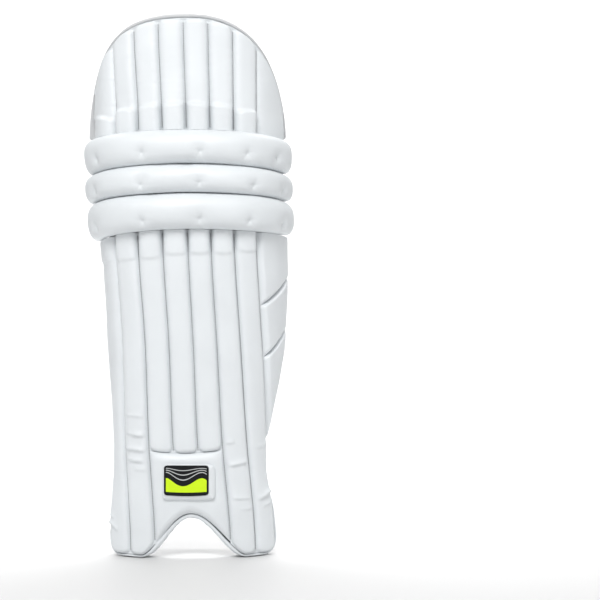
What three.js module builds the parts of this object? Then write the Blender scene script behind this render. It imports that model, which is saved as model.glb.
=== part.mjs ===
// A batting pad: a padded leg guard with stuffed channels, three knee rolls and a side wing.
// Millimetres, +Z up, the front facing -Y. The pad stands on the two lobes at its foot.

import * as THREE from 'three';
import { mergeVertices } from 'three/addons/utils/BufferGeometryUtils.js';

const { clamp, degToRad, lerp, smoothstep } = THREE.MathUtils;

// Overall sizes
const HEIGHT = 697;
const HALF_LEFT = 114;
const HALF_RIGHT = 117;
const SIDE_DEPTH = 26;
const LEAN_BACK = 14;

// The front of the leg's outline: a shallow arc that turns into tighter sides
const FRONT_RADIUS = 260;
const FRONT_LEFT = 60;
const FRONT_RIGHT = 50;

// Thicknesses
const SHELL = 16;
const SEAM_THICKNESS = 4;
const FLUTE_CROWN = 7.5;
const WING_CROWN = 6;
const STUB_RISE = 5;
const SIDE_CROWN = 4;
const INSTEP_CROWN = 9;
const PLINTH_RISE = 5;
const PLINTH_EDGE = 3;
const LABEL_THICKNESS = 1.2;
const GAP = 0.8;

// Channels, and the stubs by which they meet the knee rolls
const FLUTE_PITCH = 30.5;
const SEAM_SLOT = 0.8;
const EDGE_INSET = 3;
const STUB_LENGTH = 34;
const TOP_STUB_LENGTH = 30;
const STUB_STEP = 9;
const END_ROUND = 7;

// Knee rolls, from the lowest edge up
const KNEE_BASE = 419;
const ROLL_HEIGHT = { bottom: 46.5, middle: 36.5, top: 43.5 };
const ROLL_PROUD = 35;
const ROLL_SAG = 20;
const ROLL_END_INSET = 3;
const TACK_DENT = 5;

// Dome over the thigh
const DOME_BASE = 540;
const DOME_POWER = { left: 2.8, right: 2.25 };
const DOME_EDGE = 14;

// Foot lobes and the arch between them
const ARCH_HEIGHT = 51;
const ARCH_MIDDLE = 2.5;
const ARCH_LEFT = 63;
const ARCH_RIGHT = 69;
const FOOT_CORNER = 20;
const INSTEP_TOP = 137;
const WAIST_HEIGHT = 146;
const WAIST_SLANT = 6;

// Side wing
const GROOVE_RISE = 41;
const GROOVE_CURVE = 1.15;
const GROOVE_HEIGHTS = [254, 321];
const WING_BEVEL = 6;

// Plinth and label
const PLINTH_WIDTH = 65;
const PLINTH_HEIGHT = 46;
const PLINTH_BOTTOM = 75;
const LABEL_WIDTH = 53;
const LABEL_HEIGHT = 37.5;
const LABEL_BOTTOM = 81.5;
const LABEL_SHIFT = -2.5;
const LABEL_CORNER = 4;

// Bindings
const BINDING_WIDTH = 6;
const BINDING_OVERHANG = 1.5;
const BINDING_ROUND = 0.12;
const BINDING_EASE = 2;
const LEFT_BINDING_END = 42;
const RIGHT_BINDING_END = 72;

// Straps behind the leg
const STRAP_WIDTH = 38;
const STRAP_THICKNESS = 2.5;
const STRAP_LAP = 24;
const STRAP_GAP = 1;
const STRAP_SLACK = 88;
const STRAP_HEIGHTS = { knee_strap: 452, calf_strap: 300, ankle_strap: 118 };

// The leg's outline by height: half widths as shares of HALF_LEFT and HALF_RIGHT, turns of
// the sides in degrees, straight tails as shares of SIDE_DEPTH, set-back as a share of LEAN_BACK
const PLAN = [
  { up: 0.00, left: 0.865, right: 0.895, turnLeft: 58, turnRight: 56, tailLeft: 0.1, tailRight: 0.1, back: -0.1 },
  { up: 0.09, left: 0.86, right: 0.855, turnLeft: 60, turnRight: 59, tailLeft: 0.2, tailRight: 0.2, back: -0.1 },
  { up: 0.17, left: 0.82, right: 0.785, turnLeft: 63, turnRight: 63, tailLeft: 0.4, tailRight: 0.3, back: 0.0 },
  { up: 0.38, left: 0.90, right: 0.97, turnLeft: 74, turnRight: 71, tailLeft: 0.9, tailRight: 0.4, back: 0.0 },
  { up: 0.57, left: 0.98, right: 1.00, turnLeft: 78, turnRight: 74, tailLeft: 1.0, tailRight: 0.6, back: 0.1 },
  { up: 0.64, left: 1.03, right: 0.99, turnLeft: 75, turnRight: 74, tailLeft: 0.8, tailRight: 0.6, back: 0.2 },
  { up: 0.71, left: 1.09, right: 0.99, turnLeft: 72, turnRight: 72, tailLeft: 0.6, tailRight: 0.5, back: 0.3 },
  { up: 0.78, left: 1.15, right: 0.99, turnLeft: 67, turnRight: 69, tailLeft: 0.3, tailRight: 0.3, back: 0.4 },
  { up: 1.00, left: 1.07, right: 0.87, turnLeft: 67, turnRight: 69, tailLeft: 0.3, tailRight: 0.3, back: 1.0 },
];

// The lines that the seams follow: the middle seam's lean and the pitch to each side of it,
// as shares of FLUTE_PITCH
const SEAMS = [
  { up: 0.00, middle: 0.68, pitchLeft: 1.04, pitchRight: 1.04 },
  { up: 0.22, middle: 0.33, pitchLeft: 1.01, pitchRight: 1.01 },
  { up: 0.38, middle: 0.18, pitchLeft: 1.00, pitchRight: 0.97 },
  { up: 0.58, middle: -0.06, pitchLeft: 1.04, pitchRight: 0.95 },
  { up: 0.79, middle: -0.13, pitchLeft: 1.00, pitchRight: 0.97 },
  { up: 1.00, middle: -0.28, pitchLeft: 1.05, pitchRight: 1.02 },
];

// How much thinner a knee roll is at each end, as shares of ROLL_PROUD, from the lowest up
const ROLL_THINNING = [
  { left: 0.13, right: 0.27 },
  { left: 0.16, right: 0.27 },
  { left: 0.27, right: 0.27 },
];

// How far the lines between the knee rolls drop at each end, as shares of ROLL_SAG, from the
// lowest line up
const ROLL_SAGS = [
  { left: 1.00, right: 0.45 },
  { left: 0.85, right: 0.60 },
  { left: 0.80, right: 0.70 },
  { left: 0.55, right: 0.55 },
];

// Tacks on each knee roll, as shares of its reach to that side
const TACKS = [-0.82, -0.42, 0.06, 0.52, 0.84];

// Reads a column of a table at a height, on a smooth curve through its rows
function read(table, column, height) {
  const up = clamp(height / HEIGHT, table[0].up, table[table.length - 1].up);
  const next = Math.max(1, table.findIndex((row) => row.up >= up));
  const [low, high] = [table[next - 1], table[next]];
  const step = high.up - low.up;
  const slope = (i) => {
    if (i === 0 || i === table.length - 1) return 0;
    const [before, here, after] = [table[i - 1], table[i], table[i + 1]];
    const turns = (here[column] - before[column]) * (after[column] - here[column]) <= 0;
    return turns ? 0 : step * (after[column] - before[column]) / (after.up - before.up);
  };
  const t = (up - low.up) / step;
  const start = (2 * t ** 3 - 3 * t ** 2 + 1) * low[column] + (t ** 3 - 2 * t ** 2 + t) * slope(next - 1);
  const end = (3 * t ** 2 - 2 * t ** 3) * high[column] + (t ** 3 - t ** 2) * slope(next);
  return start + end;
}

// One side of the leg's outline at a height: its arcs, its tail and how far round it reaches
function sideOf(left, height) {
  const front = left ? FRONT_LEFT : FRONT_RIGHT;
  const half = left ? HALF_LEFT * read(PLAN, 'left', height) : HALF_RIGHT * read(PLAN, 'right', height);
  const turn = degToRad(read(PLAN, left ? 'turnLeft' : 'turnRight', height));
  const tail = SIDE_DEPTH * read(PLAN, left ? 'tailLeft' : 'tailRight', height);
  const start = front / FRONT_RADIUS;
  const arc = half - FRONT_RADIUS * Math.sin(start) - tail * Math.cos(turn);
  const radius = arc / (Math.sin(turn) - Math.sin(start));
  const bend = radius * (turn - start);
  return { front, start, turn, radius, bend, reach: front + bend + tail };
}

const reachLeft = (height) => -sideOf(true, height).reach;
const reachRight = (height) => sideOf(false, height).reach;

// The shell's front face: `across` is measured round the leg from the middle, `out` off the face
function onLeg(across, height, out) {
  const side = sideOf(across < 0, height);
  const run = Math.abs(across);
  const angle = run < side.front
    ? run / FRONT_RADIUS
    : Math.min(side.turn, side.start + (run - side.front) / side.radius);
  const rest = Math.max(0, run - side.front - side.bend);
  const bent = run < side.front ? 0 : 1;
  const x = FRONT_RADIUS * Math.sin(Math.min(angle, side.start))
    + bent * side.radius * (Math.sin(angle) - Math.sin(side.start))
    + rest * Math.cos(angle) + out * Math.sin(angle);
  const y = FRONT_RADIUS * (1 - Math.cos(Math.min(angle, side.start)))
    + bent * side.radius * (Math.cos(side.start) - Math.cos(angle))
    + rest * Math.sin(angle) - out * Math.cos(angle);
  const back = LEAN_BACK * read(PLAN, 'back', height);
  return new THREE.Vector3(across < 0 ? -x : x, y + back, height);
}

// The seam `count` channels from the middle one
function seam(count, height) {
  const pitch = read(SEAMS, count < 0 ? 'pitchLeft' : 'pitchRight', height);
  return FLUTE_PITCH * (read(SEAMS, 'middle', height) + count * pitch);
}

// The edge of the cut shell at the foot, under the binding
function footLine(across) {
  const aside = across - ARCH_MIDDLE;
  const off = Math.abs(aside) / (aside < 0 ? ARCH_LEFT : ARCH_RIGHT);
  const arch = off < 1 ? ARCH_HEIGHT * (1 - off ** 2) ** 2 : 0;
  const reach = across < 0 ? -reachLeft(0) : reachRight(0);
  const corner = clamp(Math.abs(across) - (reach - FOOT_CORNER), 0, FOOT_CORNER);
  const rounding = FOOT_CORNER - Math.sqrt(FOOT_CORNER ** 2 - corner ** 2);
  return BINDING_WIDTH + GAP + arch + rounding;
}

// The edge of the cut shell at the dome, under the binding, at a share of the reach to a side
function domeLine(share) {
  const power = share < 0 ? DOME_POWER.left : DOME_POWER.right;
  const rise = HEIGHT - BINDING_WIDTH - GAP - DOME_BASE;
  return DOME_BASE + rise * Math.sqrt(1 - Math.min(1, Math.abs(share)) ** power);
}

// The height at which a line that leans with height meets the dome
function domeHeight(acrossAt) {
  const turns = 12;
  let height = DOME_BASE;
  for (let turn = 0; turn < turns; turn += 1) {
    const across = acrossAt(height);
    const share = across < 0 ? -across / reachLeft(height) : across / reachRight(height);
    height = (height + domeLine(share)) / 2;
  }
  return height;
}

// The lines between the knee rolls: 0 is the lowest edge and 3 the highest
function rollLine(index, across) {
  const heights = [ROLL_HEIGHT.bottom, ROLL_HEIGHT.middle, ROLL_HEIGHT.top];
  const base = heights.slice(0, index).reduce((sum, height) => sum + height, KNEE_BASE);
  const reach = across < 0 ? -reachLeft(base) : reachRight(base);
  const sag = ROLL_SAG * (across < 0 ? ROLL_SAGS[index].left : ROLL_SAGS[index].right);
  return base - sag * (across / reach) ** 2;
}

// A closed block of cells, each of whose corners is placed by a function of three shares
function block(cells, corner) {
  const box = new THREE.BoxGeometry(1, 1, 1, ...cells);
  return moulded(box, (spot) => corner(spot.x + 0.5, spot.y + 0.5, spot.z + 0.5));
}

// A closed round bar, whose points are placed by a share along it and a place in its section
function bar(sides, steps, point) {
  const cylinder = new THREE.CylinderGeometry(1, 1, 1, sides, steps);
  return moulded(cylinder, (spot) => point(spot.y + 0.5, -spot.x, spot.z));
}

// Moves every vertex of a geometry and merges the ones that meet
function moulded(geometry, move) {
  const spots = geometry.attributes.position;
  const spot = new THREE.Vector3();
  for (let i = 0; i < spots.count; i += 1) {
    const moved = move(spot.fromBufferAttribute(spots, i));
    spots.setXYZ(i, moved.x, moved.y, moved.z);
  }
  geometry.deleteAttribute('normal');
  geometry.deleteAttribute('uv');
  const merged = mergeVertices(geometry, 1e-4);
  merged.computeVertexNormals();
  return merged;
}

// The rounded profile of a stuffed piece, from 0 at its seams to 1 along its crown. The higher
// the power, the flatter it is.
const crowned = (share, power = 4) => 1 - Math.abs(2 * share - 1) ** power;

// A padded panel on the shell. `heights` gives the heights of the corners up one column, and
// `front` how far its face stands out at a share across, a height and the column's ends.
function panel({ columns, left, right, heights, front }) {
  const rows = heights(0).length - 1;
  return block([columns, rows, 1], (a, b, c) => {
    const column = heights(a);
    const height = column[Math.round(b * rows)];
    const across = lerp(left(height), right(height), a);
    const out = c < 0.5 ? GAP : GAP + front(a, height, column[0], column[rows]);
    return onLeg(across, height, out);
  });
}

// Heights up a column: the rounded ends, any extra marks and even steps between
function column(low, high, marks, steps) {
  const body = [low + END_ROUND, ...marks, high - END_ROUND].sort((a, b) => a - b);
  const heights = [low];
  for (let i = 0; i + 1 < body.length; i += 1) {
    for (let step = 0; step < steps[i]; step += 1) heights.push(lerp(body[i], body[i + 1], step / steps[i]));
  }
  return [...heights, body[body.length - 1], high];
}

// How full a panel is at a height: it closes over a short way at both its ends
function ended(height, low, high) {
  const near = Math.min(height - low, high - height);
  return Math.sqrt(clamp(near / END_ROUND, 0, 1));
}

// A channel of the shin, from its foot to the rolls
function shinFlute(number) {
  const half = SEAM_SLOT / 2;
  const left = number === 1
    ? (height) => reachLeft(height) + EDGE_INSET
    : (height) => seam(number - 5, height) + half;
  const right = number === 7
    ? (height) => shinEdge(height) - half
    : (height) => seam(number - 4, height) - half;
  const onInstep = number > 2 && number < 6;
  const heights = (share) => {
    const low = onInstep ? INSTEP_TOP + SEAM_SLOT : footLine(lerp(left(0), right(0), share)) + SEAM_SLOT;
    const high = rollLine(0, lerp(left(KNEE_BASE), right(KNEE_BASE), share)) - SEAM_SLOT;
    const stub = high - STUB_LENGTH;
    return column(low, high, [stub - STUB_STEP, stub], [onInstep ? 5 : 8, 1, 1]);
  };
  const front = (share, height, low, high) => {
    const stub = STUB_RISE * smoothstep(height, high - STUB_LENGTH - STUB_STEP, high - STUB_LENGTH);
    return SEAM_THICKNESS + (FLUTE_CROWN + stub) * crowned(share) * ended(height, low, high);
  };
  return panel({ columns: 6, left, right, heights, front });
}

// The outer line of the seventh channel: the wing's seam, and the shell's edge below the waist
function shinEdge(height) {
  return Math.min(reachRight(height) - EDGE_INSET, seam(3, height));
}

// A channel above the knee, cut by the dome
function topFlute(number) {
  const half = SEAM_SLOT / 2;
  const left = number === 1
    ? (height) => reachLeft(height) + DOME_EDGE * (1 - smoothstep(height, DOME_BASE, HEIGHT))
    : (height) => seam(number - 5, height) + half;
  const right = number === 8
    ? (height) => reachRight(height) - EDGE_INSET
    : (height) => seam(number - 4, height) - half;
  const heights = (share) => {
    const low = rollLine(3, lerp(left(DOME_BASE), right(DOME_BASE), share)) + SEAM_SLOT;
    const high = domeHeight((height) => lerp(left(height), right(height), share)) - SEAM_SLOT;
    const stub = low + Math.min(TOP_STUB_LENGTH, (high - low) / 3);
    return column(low, high, [stub, stub + Math.min(STUB_STEP, (high - low) / 9)], [1, 1, 3]);
  };
  const front = (share, height, low, high) => {
    const crown = number === 8 ? SIDE_CROWN : FLUTE_CROWN;
    const rise = number === 8 ? 0 : STUB_RISE;
    const stub = rise * (1 - smoothstep(height, low + TOP_STUB_LENGTH, low + TOP_STUB_LENGTH + STUB_STEP));
    return SEAM_THICKNESS + (crown + stub) * crowned(share) * ended(height, low, high);
  };
  return panel({ columns: 6, left, right, heights, front });
}

// The padded backing, cut to the dome and to the foot
function backPad() {
  const columns = 30;
  const rows = 22;
  const crowding = 0.95;
  return block([columns, rows, 1], (a, b, c) => {
    const share = Math.sign(2 * a - 1) * Math.abs(2 * a - 1) ** crowding;
    const height = lerp(footLine(edgePoint(share, 0).x), domeLine(share), b);
    return onLeg(edgePoint(share, height).x, height, c < 0.5 ? -SHELL : 0);
  });
}

// A knee roll between two of the lines, with a dent at each tack
function kneeRoll(index) {
  const stepsBetween = 4;
  const marks = [-1, ...TACKS, 1];
  const sides = 12;
  const endDrop = 0.8;
  const endPower = 8;
  const thinFrom = 0.45;
  const roundness = 0.82;
  return bar(sides, (marks.length - 1) * stepsBetween, (along, up, out) => {
    const place = along * (marks.length - 1);
    const mark = Math.min(Math.floor(place + 1e-6), marks.length - 2);
    const share = lerp(marks[mark], marks[mark + 1], place - mark);
    const middle = (rollLine(index, 0) + rollLine(index + 1, 0)) / 2;
    const reach = share < 0 ? -reachLeft(middle) : reachRight(middle);
    const across = share * (reach - ROLL_END_INSET);
    const low = rollLine(index, across) + SEAM_SLOT / 2;
    const high = rollLine(index + 1, across) - SEAM_SLOT / 2;
    const full = Math.sqrt(1 - endDrop * Math.abs(share) ** endPower);
    const thinning = share < 0 ? ROLL_THINNING[index].left : ROLL_THINNING[index].right;
    const proud = ROLL_PROUD * full * (1 - thinning * smoothstep(Math.abs(share), thinFrom, 1));
    const square = (value) => Math.sign(value) * Math.abs(value) ** roundness;
    const dented = out > 0.97 && TACKS.some((tack) => Math.abs(tack - share) < 1e-3);
    const height = lerp(low, high, 0.5 + 0.5 * full * square(up));
    const lift = proud * (0.5 + 0.5 * square(out)) - (dented ? TACK_DENT : 0);
    return onLeg(across, height, GAP + lift);
  });
}

// The groove above the wing's segment `index`, which climbs outwards
function grooveLine(index, share) {
  return GROOVE_HEIGHTS[index] + GROOVE_RISE * share ** GROOVE_CURVE;
}

// A segment of the wing: 0 is the lowest
function wingSegment(index) {
  const left = (height) => seam(3, height) + SEAM_SLOT / 2;
  const right = (height) => Math.max(left(height), reachRight(height) - 2 * EDGE_INSET) + EDGE_INSET;
  const heights = (share) => {
    const low = index === 0
      ? WAIST_HEIGHT + WAIST_SLANT * share
      : grooveLine(index - 1, share) + SEAM_SLOT / 2;
    const high = index === 2
      ? rollLine(0, lerp(left(KNEE_BASE), right(KNEE_BASE), share)) - SEAM_SLOT
      : grooveLine(index, share) - SEAM_SLOT / 2;
    return column(low, high, [], [4]);
  };
  const front = (share, height, low, high) => {
    const wide = right(height) - left(height);
    const inset = Math.min(share, 1 - share) * wide / WING_BEVEL;
    return SEAM_THICKNESS + WING_CROWN * clamp(inset, 0, 1) * ended(height, low, high);
  };
  return panel({ columns: 6, left, right, heights, front });
}

// How far the instep panel's face stands out
function instepFace(across, height) {
  const left = seam(-2, height);
  const right = seam(1, height);
  const share = clamp((across - left) / (right - left), 0, 1);
  const flatness = 6;
  const full = crowned(share, flatness) * ended(height, footLine(across), INSTEP_TOP);
  return SEAM_THICKNESS + INSTEP_CROWN * full;
}

function instepPanel() {
  const left = (height) => seam(-2, height) + SEAM_SLOT / 2;
  const right = (height) => seam(1, height) - SEAM_SLOT / 2;
  const heights = (share) => {
    const low = footLine(lerp(left(ARCH_HEIGHT), right(ARCH_HEIGHT), share)) + SEAM_SLOT;
    return column(low, INSTEP_TOP, [], [5]);
  };
  const front = (share, height) => instepFace(lerp(left(height), right(height), share), height);
  return panel({ columns: 12, left, right, heights, front });
}

function labelPlinth() {
  const columns = 10;
  const rows = 5;
  return block([columns, rows, 1], (a, b, c) => {
    const across = PLINTH_WIDTH * (a - 0.5);
    const height = PLINTH_BOTTOM + PLINTH_HEIGHT * b;
    const rise = a === 0 || a === 1 || b === 0 || b === 1 ? PLINTH_EDGE : PLINTH_RISE;
    const seat = instepFace(across, height) + 2 * GAP;
    return onLeg(across, height, seat + (c < 0.5 ? 0 : rise));
  });
}

function label() {
  const columns = 10;
  const rows = 5;
  return block([columns, rows, 1], (a, b, c) => {
    const onCorner = (a === 0 || a === 1) && (b === 0 || b === 1);
    const cut = onCorner ? LABEL_CORNER * (1 - Math.SQRT1_2) : 0;
    const across = LABEL_SHIFT + (LABEL_WIDTH - 2 * cut) * (a - 0.5);
    const height = LABEL_BOTTOM + cut + (LABEL_HEIGHT - 2 * cut) * b;
    const seat = instepFace(across, height) + PLINTH_RISE + 3 * GAP;
    return onLeg(across, height, seat + c * LABEL_THICKNESS);
  });
}

// A binding outside a line of points, each of which is a place across and a height
function binding(points) {
  const last = points.length - 1;
  const depths = [0, BINDING_ROUND, 1 - BINDING_ROUND, 1];
  return block([last, 1, depths.length - 1], (a, b, c) => {
    const index = Math.round(a * last);
    const depth = depths[Math.round(c * (depths.length - 1))];
    const point = points[index];
    const before = points[Math.max(index - 1, 0)];
    const after = points[Math.min(index + 1, last)];
    const away = new THREE.Vector2(before.y - after.y, after.x - before.x).normalize();
    const width = depth === 0 || depth === 1 ? BINDING_WIDTH - BINDING_EASE : BINDING_WIDTH;
    const spot = point.clone().addScaledVector(away, GAP + width * b);
    const out = lerp(-SHELL - BINDING_OVERHANG, GAP + SEAM_THICKNESS + BINDING_OVERHANG, depth);
    return onLeg(spot.x, spot.y, out);
  });
}

// A point on the shell's edge: its share of the reach to that side, and its height
function edgePoint(share, height) {
  return new THREE.Vector2(share < 0 ? -share * reachLeft(height) : share * reachRight(height), height);
}

function topBinding() {
  const steps = 36;
  const points = [];
  for (let step = 0; step <= steps; step += 1) {
    const way = Math.cos(Math.PI * (1 - step / steps));
    const share = Math.sign(way) * Math.abs(way) ** (2 / (way < 0 ? DOME_POWER.left : DOME_POWER.right));
    points.push(edgePoint(share, domeLine(share)));
  }
  return binding(points);
}

function footBinding() {
  const sideSteps = 2;
  const cornerSteps = 4;
  const archSteps = 24;
  const floor = BINDING_WIDTH + GAP;
  const left = [];
  const right = [];
  for (const [points, sign, end] of [[left, -1, LEFT_BINDING_END], [right, 1, RIGHT_BINDING_END]]) {
    const reach = Math.abs(edgePoint(sign, 0).x);
    for (let step = 0; step < sideSteps; step += 1) {
      points.push(edgePoint(sign, lerp(end, floor + FOOT_CORNER, step / sideSteps)));
    }
    for (let step = 0; step <= cornerSteps; step += 1) {
      const angle = (Math.PI / 2) * (step / cornerSteps);
      const share = 1 - FOOT_CORNER * (1 - Math.cos(angle)) / reach;
      points.push(edgePoint(sign * share, floor + FOOT_CORNER * (1 - Math.sin(angle))));
    }
  }
  const from = right[right.length - 1].x;
  const to = left[left.length - 1].x;
  const arch = [];
  for (let step = 1; step < archSteps; step += 1) {
    const across = lerp(from, to, step / archSteps);
    arch.push(new THREE.Vector2(across, footLine(across)));
  }
  return binding([...right, ...arch, ...left.reverse()]);
}

// A band behind the leg, lapped inside both sides of the shell
function strap(middle) {
  const lapSteps = 3;
  const loopSteps = 14;
  const steps = 2 * lapSteps + loopSteps;
  const inside = -SHELL - STRAP_GAP;
  return block([steps, 1, 1], (a, b, c) => {
    const step = Math.round(a * steps);
    const height = middle + STRAP_WIDTH * (b - 0.5);
    const depth = c * STRAP_THICKNESS;
    const [from, to] = [reachLeft(height), reachRight(height)];
    if (step < lapSteps) return onLeg(from + STRAP_LAP * (1 - step / lapSteps), height, inside - depth);
    if (step > steps - lapSteps) {
      return onLeg(to - STRAP_LAP * (1 - (steps - step) / lapSteps), height, inside - depth);
    }
    const [leftEnd, rightEnd] = [onLeg(from, height, inside), onLeg(to, height, inside)];
    const leftWay = leftEnd.clone().sub(onLeg(from + 1, height, inside)).normalize();
    const rightWay = rightEnd.clone().sub(onLeg(to - 1, height, inside)).normalize();
    const loop = new THREE.CubicBezierCurve3(
      leftEnd,
      leftEnd.clone().addScaledVector(leftWay, STRAP_SLACK),
      rightEnd.clone().addScaledVector(rightWay, STRAP_SLACK),
      rightEnd,
    );
    const share = (step - lapSteps) / loopSteps;
    const way = loop.getTangent(share);
    const spot = loop.getPoint(share);
    return new THREE.Vector3(spot.x + way.y * depth, spot.y - way.x * depth, height);
  });
}

// Finishes
const whiteLeather = { color: 0xeef0f2, roughness: 0.42, metalness: 0 };
const whiteLining = { color: 0xe6e7e8, roughness: 0.75, metalness: 0 };
const greyBinding = { color: 0xc9cbcc, roughness: 0.6, metalness: 0 };
const blackPatch = { color: 0x17191a, roughness: 0.5, metalness: 0 };
const whiteWebbing = { color: 0xdfe1e3, roughness: 0.8, metalness: 0 };

const pad = new THREE.Group();

function add(name, geometry, finish) {
  const mesh = new THREE.Mesh(geometry, new THREE.MeshStandardMaterial(finish));
  mesh.name = name;
  pad.add(mesh);
}

add('back_pad', backPad(), whiteLining);
for (let number = 1; number <= 7; number += 1) {
  add(`top_flute_${number}`, topFlute(number), whiteLeather);
  add(`shin_flute_${number}`, shinFlute(number), whiteLeather);
}
add('top_side_panel', topFlute(8), whiteLeather);
add('knee_roll_bottom', kneeRoll(0), whiteLeather);
add('knee_roll_middle', kneeRoll(1), whiteLeather);
add('knee_roll_top', kneeRoll(2), whiteLeather);
add('wing_lower', wingSegment(0), whiteLeather);
add('wing_middle', wingSegment(1), whiteLeather);
add('wing_upper', wingSegment(2), whiteLeather);
add('instep_panel', instepPanel(), whiteLeather);
add('label_plinth', labelPlinth(), whiteLeather);
add('label', label(), blackPatch);
add('top_binding', topBinding(), greyBinding);
add('foot_binding', footBinding(), whiteLeather);
for (const [name, height] of Object.entries(STRAP_HEIGHTS)) add(name, strap(height), whiteWebbing);

// The origin is at the middle of the base
const bounds = new THREE.Box3().setFromObject(pad);
const centre = bounds.getCenter(new THREE.Vector3());
pad.position.set(-centre.x, -centre.y, -bounds.min.z);

export default pad;
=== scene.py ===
import math

import bmesh
import bpy
import numpy as np
from mathutils import Matrix, Vector
from mathutils.kdtree import KDTree


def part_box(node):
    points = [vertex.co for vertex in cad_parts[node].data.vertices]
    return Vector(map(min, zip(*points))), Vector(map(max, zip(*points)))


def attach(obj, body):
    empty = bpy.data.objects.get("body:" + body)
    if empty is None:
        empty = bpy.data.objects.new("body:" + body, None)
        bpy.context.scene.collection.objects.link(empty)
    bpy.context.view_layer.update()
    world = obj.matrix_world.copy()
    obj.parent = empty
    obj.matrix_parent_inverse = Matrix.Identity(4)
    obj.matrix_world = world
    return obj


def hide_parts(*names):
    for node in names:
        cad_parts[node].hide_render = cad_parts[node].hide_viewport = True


bl_info = {
    "name": "Batting Pad",
    "version": (1, 0, 0),
    "blender": (4, 5, 0),
    "location": "3D View > Sidebar > Batting Pad",
    "description": "Dresses the frame of a batting pad in stuffed leather, bindings, webbing and thread",
    "category": "Add Mesh",
}

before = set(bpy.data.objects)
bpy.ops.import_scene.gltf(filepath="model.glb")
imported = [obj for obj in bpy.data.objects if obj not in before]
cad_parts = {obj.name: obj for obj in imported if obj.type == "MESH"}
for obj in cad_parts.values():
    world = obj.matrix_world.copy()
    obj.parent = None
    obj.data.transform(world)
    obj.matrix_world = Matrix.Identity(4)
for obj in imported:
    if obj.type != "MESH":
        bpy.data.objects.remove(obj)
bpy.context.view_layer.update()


def table(columns, *rows):
    """Rows of values under the names of their columns."""
    return [dict(zip(columns.split(), row)) for row in rows]


# The leg's outline, the same that the frame's solids follow, in metres
HEIGHT = 0.697
HALF_LEFT = 0.114
HALF_RIGHT = 0.117
SIDE_DEPTH = 0.026
LEAN_BACK = 0.014
FRONT_RADIUS = 0.260
FRONT_LEFT = 0.060
FRONT_RIGHT = 0.050

# Thicknesses of the frame's solids
SHELL = 0.016
SEAM_THICKNESS = 0.004
GAP = 0.0008

# Where the channels, the rolls, the dome and the foot lie
CHANNELS = 7
FIRST_SEAM = 4
FLUTE_PITCH = 0.0305
EDGE_INSET = 0.003
KNEE_BASE = 0.419
ROLL_HEIGHTS = (0.0465, 0.0365, 0.0435)
ROLL_LEFT_INSET = 0.0092
ROLL_RIGHT_INSET = 0.0068
ROLL_SAG = 0.020
DOME_BASE = 0.540
DOME_POWER_LEFT = 2.8
DOME_POWER_RIGHT = 2.25
DOME_EDGE = 0.014
BINDING_WIDTH = 0.006
FOOT_TRIM = 0.0026
ARCH_HEIGHT = 0.051
ARCH_MIDDLE = 0.0025
ARCH_LEFT = 0.063
ARCH_RIGHT = 0.069
FOOT_CORNER = 0.020
INSTEP_TOP = 0.1340
INSTEP_DIP = 0.0153
INSTEP_LOWEST = 0.45
WAIST = 0.146
WAIST_RISE = 0.006
GROOVE_RISE = 0.041
GROOVE_CURVE = 1.15
GROOVE_HEIGHTS = (0.254, 0.321)

# Rows by share of the height: half widths, turns of the sides, straight tails and set-back
PLAN = table(
    "up left right turn_left turn_right tail_left tail_right back",
    (0.00, 0.865, 0.895, 58, 56, 0.1, 0.1, -0.1),
    (0.09, 0.86, 0.855, 60, 59, 0.2, 0.2, -0.1),
    (0.17, 0.82, 0.785, 63, 63, 0.4, 0.3, 0.0),
    (0.38, 0.90, 0.97, 74, 71, 0.9, 0.4, 0.0),
    (0.57, 0.98, 1.00, 78, 74, 1.0, 0.6, 0.1),
    (0.64, 1.03, 0.99, 75, 74, 0.8, 0.6, 0.2),
    (0.71, 1.09, 0.99, 72, 72, 0.6, 0.5, 0.3),
    (0.78, 1.15, 0.99, 67, 69, 0.3, 0.3, 0.4),
    (1.00, 1.07, 0.87, 67, 69, 0.3, 0.3, 1.0),
)

# The seams' lean and pitch, as shares of the channels' pitch
SEAMS = table(
    "up middle pitch_left pitch_right",
    (0.00, 0.68, 1.04, 1.04),
    (0.22, 0.33, 1.01, 1.01),
    (0.38, 0.18, 1.00, 0.97),
    (0.58, -0.06, 1.04, 0.95),
    (0.79, -0.13, 1.00, 0.97),
    (1.00, -0.28, 1.05, 1.02),
)

# How much thinner a knee roll is at each end, as shares of its depth, from the lowest up
ROLL_THINNING = table(
    "left right",
    (0.13, 0.27),
    (0.16, 0.27),
    (0.27, 0.27),
)

# How far the lines between the knee rolls drop at each end, as shares of ROLL_SAG, from the
# lowest line up
ROLL_SAGS = table(
    "left right",
    (1.00, 0.45),
    (0.85, 0.60),
    (0.80, 0.70),
    (0.55, 0.55),
)

# Tacks on the knee rolls, from the lowest up: ways round as shares of the reach to that side,
# and how high on the section
TACKS = [
    dict(ways=(-0.74, -0.36, 0.09, 0.46, 0.75), up=-0.42),
    dict(ways=(-0.74, -0.37, 0.09, 0.50, 0.78), up=-0.30),
    dict(ways=(-0.73, -0.36, 0.10, 0.47, 0.73), up=-0.26),
]

# Folds that run out from a tack: their direction in degrees, depth as a share and spread
TACK_FOLDS = table(
    "way depth spread",
    (-62, 1.0, 0.30),
    (-121, 0.9, 0.28),
    (8, 0.5, 0.22),
    (171, 0.55, 0.24),
    (64, 0.4, 0.26),
    (118, 0.35, 0.26),
)

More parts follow.
